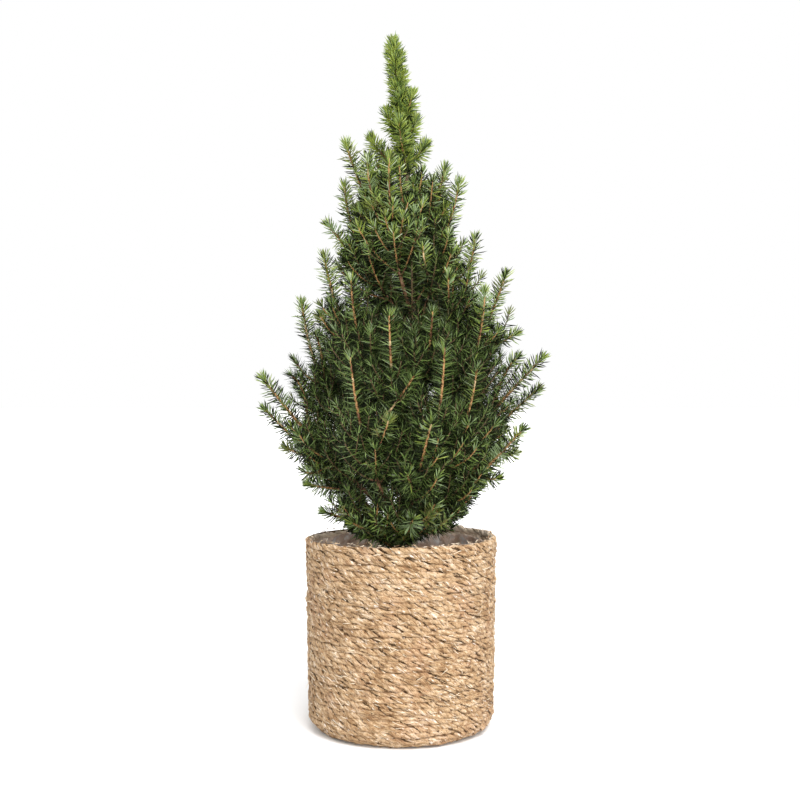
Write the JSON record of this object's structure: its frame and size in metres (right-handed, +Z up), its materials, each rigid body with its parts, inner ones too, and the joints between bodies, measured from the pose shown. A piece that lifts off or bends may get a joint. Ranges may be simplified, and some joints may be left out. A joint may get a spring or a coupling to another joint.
{
  "type": "potted alberta spruce",
  "caption": "Small conical dwarf spruce with upswept needled shoots, growing in a straight-sided basket of coiled seagrass rope with a thin film liner.",
  "frame": {"origin": "middle of the basket's flat underside, where it stands", "axes": "+Z up along the plant, +X to the plant's right as seen from the front, -Y towards the front"},
  "size_m": [0.2906, 0.2485, 0.6858],
  "materials": {
    "seagrass": "matt twisted dry seagrass rope",
    "liner": "crinkled translucent film",
    "soil": "moist peat",
    "bark": "thin scaly bark",
    "needles": "waxy needles"
  },
  "bodies": {
    "root": {"basket": "seagrass", "liner": "liner", "soil": "soil", "trunk": "bark", "bough_front_left": "bark", "bough_front_low": "bark", "bough_front_middle": "bark", "bough_front_right": "bark", "bough_front_right_low": "bark", "bough_left_upright": "bark", "bough_low_left": "bark", "bough_low_left_rear": "bark", "bough_low_right": "bark", "bough_low_right_front": "bark", "bough_low_right_rear": "bark", "bough_rear_2": "bark", "bough_rear_3": "bark", "bough_rear_4": "bark", "bough_rear_5": "bark", "bough_rear_6": "bark", "bough_right_front": "bark", "foliage_front_left": "needles", "foliage_front_low": "needles", "foliage_front_middle": "needles", "foliage_front_right": "needles", "foliage_front_right_low": "needles", "foliage_leader": "needles", "foliage_left_upright": "needles", "foliage_low_left": "needles", "foliage_low_left_rear": "needles", "foliage_low_right": "needles", "foliage_low_right_front": "needles", "foliage_low_right_rear": "needles", "foliage_middle_left": "needles", "foliage_middle_left_front": "needles", "foliage_middle_right": "needles", "foliage_middle_right_front": "needles", "foliage_rear_1": "needles", "foliage_rear_10": "needles", "foliage_rear_2": "needles", "foliage_rear_3": "needles", "foliage_rear_4": "needles", "foliage_rear_5": "needles", "foliage_rear_6": "needles", "foliage_rear_7": "needles", "foliage_rear_8": "needles", "foliage_rear_9": "needles", "foliage_right_front": "needles", "foliage_skirt_front": "needles", "foliage_skirt_front_left": "needles", "foliage_skirt_front_right": "needles", "foliage_skirt_left": "needles", "foliage_skirt_right": "needles", "foliage_top_left": "needles", "foliage_top_right": "needles", "foliage_upper_front": "needles", "foliage_upper_left": "needles", "foliage_upper_left_rear": "needles", "foliage_upper_right": "needles", "foliage_upper_right_front": "needles"}
  },
  "joints": []
}
